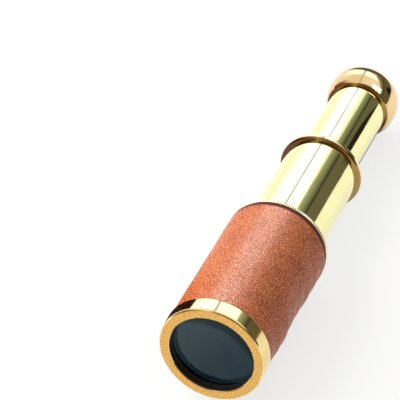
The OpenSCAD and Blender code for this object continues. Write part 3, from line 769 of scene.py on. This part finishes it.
# Each fleck is a flat eight-faced grain: four points round its middle, one before, one behind.
shape = np.array([(0, 1, 0), (0, 0, 1), (0, -1, 0), (0, 0, -1), (-0.6, 0, 0), (0.6, 0, 0)])
stretch = chance.uniform(*DUST_STRETCH, (DUST_COUNT, 6, 1))
flecks = middle[:, None] + shape * stretch * size[:, None, None]
grain_faces = np.array([(0, 1, 4), (1, 2, 4), (2, 3, 4), (3, 0, 4),
                        (1, 0, 5), (2, 1, 5), (3, 2, 5), (0, 3, 5)])
faces = grain_faces[None] + 6 * np.arange(DUST_COUNT)[:, None, None]
dust_mesh = bpy.data.meshes.new("lens_dust")
dust_mesh.from_pydata(flecks.reshape(-1, 3), [], faces.reshape(-1, 3).tolist())
dust = bpy.data.objects.new("lens_dust", dust_mesh)
bpy.context.scene.collection.objects.link(dust)
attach(dust, "barrel")

dust_finish, tree, shader = new_finish("pale_dust", 0.0, 0.9)
place = add(tree, "ShaderNodeTexCoord").outputs["Object"]
lint = add(tree, "ShaderNodeTexNoise", {"Vector": place, "Scale": 5000.0, "Detail": 2.0})
tree.links.new(tint(tree, lint.outputs["Fac"], DUST_GREY, DUST_PALE), shader.inputs["Base Color"])
dust.data.materials.append(dust_finish)

# Blackened brass: bone-black lacquer on every ring and stop in the light path, rubbed a little
# in places; the objective's ring screws into the bezel behind the glass.
LACQUER_BLACK = (0.014, 0.012, 0.011, 1)
LACQUER_WORN = (0.075, 0.058, 0.036, 1)

black_finish, tree, shader = new_finish("blackened_brass", 0.3, 0.5)
place = add(tree, "ShaderNodeTexCoord").outputs["Object"]
spin = use(tree, lathe_marks, Place=place, Per_metre=4500.0)
patina = use(tree, tarnish, Place=place)
worn = sum_of(tree, "MULTIPLY", patina["Clouds"], ramp(tree, patina["Mottle"], 0.55, 0.95))
tree.links.new(tint(tree, worn, LACQUER_BLACK, LACQUER_WORN), shader.inputs["Base Color"])
tree.links.new(ramp(tree, patina["Mottle"], 0.0, 1.0, 0.42, 0.62), shader.inputs["Roughness"])
relief(tree, shader, spin["Marks"], 0.00002, 0.6)
dress(black_finish, "objective_retaining_ring", "middle_baffle", "erector_front_ring",
      "erector_stop", "erector_rear_ring", "field_stop", "eye_lens_ring")

# Barrel collar: turned brass with a thin straight-knurled rim behind the leather, buffed pale;
# its hub screws into the barrel and guides the middle tube.
KNURL_COUNT = 144
KNURL_STEPS = 8
KNURL_DEPTH = 0.00015
RIM_R = 0.01710
COLLAR_PROFILE = (
    (54.7, 12.90, 0.1), (54.7, 15.17, 0.15), (60.4, 15.17, 0.03), (60.4, 17.10, 0.12),
    (61.55, 17.10, 0.12), (61.55, 12.90, 0.15), (58.7, 12.90, 0.03), (58.7, 13.58, 0.03),
    (55.5, 13.58, 0.03), (55.5, 12.90, 0.03),
)


def knurled_section(angle):
    """The collar's outline, with its rim cut by straight grooves: near the full rim radius the
    surface sinks by the knurl's depth times a squared sine of half the count times the angle."""
    outline = eased_loop(COLLAR_PROFILE)
    on_rim = np.clip((outline[:, 1:] - RIM_R + 2 * KNURL_DEPTH) / (2 * KNURL_DEPTH), 0, 1)
    groove = KNURL_DEPTH * np.sin(KNURL_COUNT * angle / 2) ** 2
    return outline[:, :1], outline[:, 1:] - on_rim * groove


def brass_finish(name, bright, deep, marks, per_metre, smooth, rough, depth, strength=0.3):
    """Polished brass: bright metal clouded with a deeper tone, lathe or draw marks as relief,
    and roughness from smooth to rough with the clouds and the marks."""
    made, tree, shader = new_finish(name, 1.0, smooth)
    place = add(tree, "ShaderNodeTexCoord").outputs["Object"]
    lines = use(tree, marks, Place=place, Per_metre=per_metre)["Marks"]
    patina = use(tree, tarnish, Place=place)
    shade = sum_of(tree, "MULTIPLY_ADD", patina["Mottle"], 0.25,
                   sum_of(tree, "MULTIPLY", patina["Clouds"], 0.75))
    tree.links.new(tint(tree, shade, bright, deep), shader.inputs["Base Color"])
    haze = sum_of(tree, "MULTIPLY", patina["Clouds"], ramp(tree, lines, 0.35, 0.75))
    tree.links.new(ramp(tree, haze, 0.0, 1.0, smooth, rough), shader.inputs["Roughness"])
    relief(tree, shader, lines, depth, strength)
    return made


COLLAR_PALE = (0.97, 0.90, 0.62, 1)
COLLAR_DEEP = (0.88, 0.72, 0.38, 1)
COLLAR_CREASE = 50

collar = closed_skin("knurled_collar", knurled_section, KNURL_COUNT * KNURL_STEPS)
collar.data.set_sharp_from_angle(angle=math.radians(COLLAR_CREASE))
fit(collar, "barrel", "barrel_collar")
collar_finish = brass_finish("collar_brass_buffed", COLLAR_PALE, COLLAR_DEEP, lathe_marks,
                             per_metre=4800.0, smooth=0.06, rough=0.14, depth=0.000010)
collar.data.materials.append(collar_finish)

# Felt liners: strips of dark wool felt glued in the grooves of the two collars. They grip the
# draws lightly and keep light and grit out.
FELT_DARK = (0.020, 0.019, 0.020, 1)
FELT_PALE = (0.060, 0.057, 0.055, 1)

felt_finish, tree, shader = new_finish("wool_felt", 0.0, 0.95)
shader.inputs["Sheen Weight"].default_value = 0.4
shader.inputs["Sheen Roughness"].default_value = 0.5
place = add(tree, "ShaderNodeTexCoord").outputs["Object"]
fibres = add(tree, "ShaderNodeTexNoise",
             {"Vector": place, "Scale": 2600.0, "Detail": 5.0, "Distortion": 1.5})
tree.links.new(tint(tree, ramp(tree, fibres.outputs["Fac"], 0.35, 0.7), FELT_DARK, FELT_PALE),
               shader.inputs["Base Color"])
relief(tree, shader, fibres.outputs["Fac"], 0.0002, 0.8)
dress(felt_finish, "barrel_felt_liner", "middle_felt_liner")

# Inner brass: spring rings, guide bushes and lens cells, turned and left as they come off the
# lathe; they are soldered or screwed in the tubes and show only when the spyglass is apart.
INNER_BRIGHT = (0.80, 0.60, 0.27, 1)
INNER_DEEP = (0.60, 0.41, 0.15, 1)

inner_finish = brass_finish("inner_brass_turned", INNER_BRIGHT, INNER_DEEP, lathe_marks,
                            per_metre=3600.0, smooth=0.22, rough=0.38, depth=0.000030)
dress(inner_finish, "middle_spring_ring", "middle_guide_bush", "eye_spring_ring",
      "eye_guide_bush", "erector_cell", "eyepiece_cell")

# Draw tubes: seamless brass tube, drawn and buffed bright, pale as lemon, with hairline marks
# along it from sliding; each is soldered to its bush and screwed to its collar or eyecup.
ALONG_PER_METRE = 90.0

# Draw marks run along the tube: noise that changes fast across it and slowly along it.
draw_marks, given = new_effect(
    "draw_marks", [("Place", PLACE), ("Per metre", VALUE)], [("Marks", VALUE)]
)
part = add(draw_marks, "ShaderNodeSeparateXYZ", {"Vector": given["Place"]}).outputs
drawn = add(draw_marks, "ShaderNodeCombineXYZ", {
    "X": sum_of(draw_marks, "MULTIPLY", part["X"], ALONG_PER_METRE),
    "Y": sum_of(draw_marks, "MULTIPLY", part["Y"], given["Per metre"]),
    "Z": sum_of(draw_marks, "MULTIPLY", part["Z"], given["Per metre"]),
})
noise = add(draw_marks, "ShaderNodeTexNoise",
            {"Vector": drawn.outputs[0], "Scale": 1.0, "Detail": 2.0, "Roughness": 0.55})
give(draw_marks, Marks=noise.outputs["Fac"])

DRAW_PALE = (0.99, 0.96, 0.51, 1)
DRAW_DEEP = (0.97, 0.91, 0.44, 1)

draw_finish = brass_finish("draw_brass_polished", DRAW_PALE, DRAW_DEEP, draw_marks,
                           per_metre=2600.0, smooth=0.05, rough=0.12, depth=0.000008,
                           strength=0.55)
dress(draw_finish, "middle_tube", "eye_tube")

# Middle collar: turned brass, its rounded grip ring gives the fingers a hold; its hub screws
# into the middle tube and guides the eye tube.
GRIP_PROFILE = (
    (97.85, 10.0, 0.1), (97.85, 12.12, 0.15), (102.85, 12.12, 0.03), (102.85, 14.25, 1.1),
    (104.85, 14.25, 0.3), (104.85, 10.0, 0.15), (101.85, 10.0, 0.03), (101.85, 10.68, 0.03),
    (98.65, 10.68, 0.03), (98.65, 10.0, 0.03),
)
# How fast the painted shade band comes and goes along x, and the y between which it deepens.
SHADE_FADE_IN = 0.0002
SHADE_FADE_OUT = 0.0004
SHADE_DEEPENS_Y = (-0.001, 0.009)


def paint_shoulder_shade(finish, start, end, colour, deep):
    """Paints shade into a turned finish from x = start on, clearing again by x = end: to deep on
    its +Y side and to colour elsewhere."""
    tree = finish.node_tree
    shader = next(node for node in tree.nodes if node.bl_idname == "ShaderNodeBsdfPrincipled")
    place = add(tree, "ShaderNodeTexCoord").outputs["Object"]
    part = add(tree, "ShaderNodeSeparateXYZ", {"Vector": place}).outputs
    shoulder_shade = sum_of(tree, "MULTIPLY", ramp(tree, part["X"], start - SHADE_FADE_IN, start),
                  ramp(tree, part["X"], end - SHADE_FADE_OUT, end, 1.0, 0.0))
    brown = tint(tree, ramp(tree, part["Y"], *SHADE_DEEPENS_Y), colour, deep)
    clean = shader.inputs["Base Color"].links[0].from_socket
    tree.links.new(tint(tree, shoulder_shade, clean, brown), shader.inputs["Base Color"])


SHOULDER_SHADE = (0.40, 0.26, 0.10, 1)
SHOULDER_DEEP_SHADE = (0.15, 0.065, 0.028, 1)
GRIP_SHOULDER_X = (0.1028, 0.1039)

grip = turned_skin("grip_collar", eased_loop(GRIP_PROFILE))
fit(grip, "middle_draw", "middle_collar")
grip.data.materials.append(collar_finish)
# Painted shade: a brown band on the grip ring's shoulder, deeper on its +Y side.
paint_shoulder_shade(collar_finish, *GRIP_SHOULDER_X, SHOULDER_SHADE, SHOULDER_DEEP_SHADE)

# Inner lenses: clear glass, ground and polished, each dropped in its cell and held there by a
# slotted ring or by the field stop.
CLEAR_GLASS = (0.93, 0.97, 0.96, 1)
GREEN_GLASS = (0.86, 0.94, 0.92, 1)
CROWN_IOR = 1.52

glass_finish, tree, shader = new_finish("clear_glass", 0.0, 0.01)
shader.inputs["IOR"].default_value = CROWN_IOR
shader.inputs["Transmission Weight"].default_value = 1.0
place = add(tree, "ShaderNodeTexCoord").outputs["Object"]
streak = add(tree, "ShaderNodeTexNoise", {"Vector": place, "Scale": 180.0, "Detail": 3.0})
tree.links.new(tint(tree, ramp(tree, streak.outputs["Fac"], 0.3, 0.7), CLEAR_GLASS, GREEN_GLASS),
               shader.inputs["Base Color"])
tree.links.new(ramp(tree, streak.outputs["Fac"], 0.45, 0.8, 0.01, 0.05),
               shader.inputs["Roughness"])
dress(glass_finish, "erector_front_lens", "erector_rear_lens", "field_lens", "eye_lens")

# Eyecup: turned brass, a rounded bulb with a dish and a small eye hole behind, buffed to a
# warmer gold than the tubes; its spigot screws into the eye tube.
CUP_STEPS = 28
# The spigot's outside from its front end to the shoulder, and the bore from the eye hole back
# to the spigot's front end, as x and radius in millimetres.
CUP_SPIGOT = [(138.65, 7.63), (138.65, 9.12), (138.75, 9.22), (142.12, 9.22), (142.15, 9.25)]
CUP_BORE = [(146.12, 4.00), (144.90, 4.00), (144.85, 4.05), (144.85, 7.55), (144.80, 7.60),
            (138.68, 7.60)]
# The quarter ellipses: the middle's x and radius, then the half-axes along x and across.
CUP_SWELL = (148.35, 10.4, 6.2, 1.9)
CUP_CLOSE = (148.35, 11.3, 3.3, 1.0)
CUP_DISH = (146.15, 10.3, 5.5, 6.3)


def cup_outline():
    """The eyecup's (x, radius) loop in metres: spigot, then a quarter ellipse from the shoulder
    to the belly, one from the belly to the lip, one down the dish to the eye hole, and the
    cavity back to the spigot."""
    turn = np.linspace(0, np.pi / 2, CUP_STEPS)
    x, r, along, across = CUP_SWELL
    swell = np.stack([x - along * np.cos(turn), r + across * np.sin(turn)], axis=-1)
    x, r, along, across = CUP_CLOSE
    close = np.stack([x + along * np.sin(turn), r + across * np.cos(turn)], axis=-1)[1:]
    x, r, along, across = CUP_DISH
    dish = np.stack([x + along * np.cos(turn), r - across * np.sin(turn)], axis=-1)
    return np.concatenate([CUP_SPIGOT, swell, close, dish, CUP_BORE]) * MM


CUP_GOLD = (0.95, 0.74, 0.42, 1)
CUP_DEEP = (0.84, 0.58, 0.27, 1)
CUP_SHOULDER_X = (0.1418, 0.1426)

cup = turned_skin("eyecup_bulb", cup_outline(), crease=35)
fit(cup, "eye_draw", "eyecup")
cup_finish = brass_finish("eyecup_brass_buffed", CUP_GOLD, CUP_DEEP, lathe_marks,
                          per_metre=4200.0, smooth=0.06, rough=0.13, depth=0.000008)
cup.data.materials.append(cup_finish)
shine_only_on(window, cup)
# Painted shade: a brown band on the eyecup's shoulder where it meets the eye tube, deeper on its +Y
# side.
paint_shoulder_shade(cup_finish, *CUP_SHOULDER_X, SHOULDER_SHADE, SHOULDER_DEEP_SHADE)
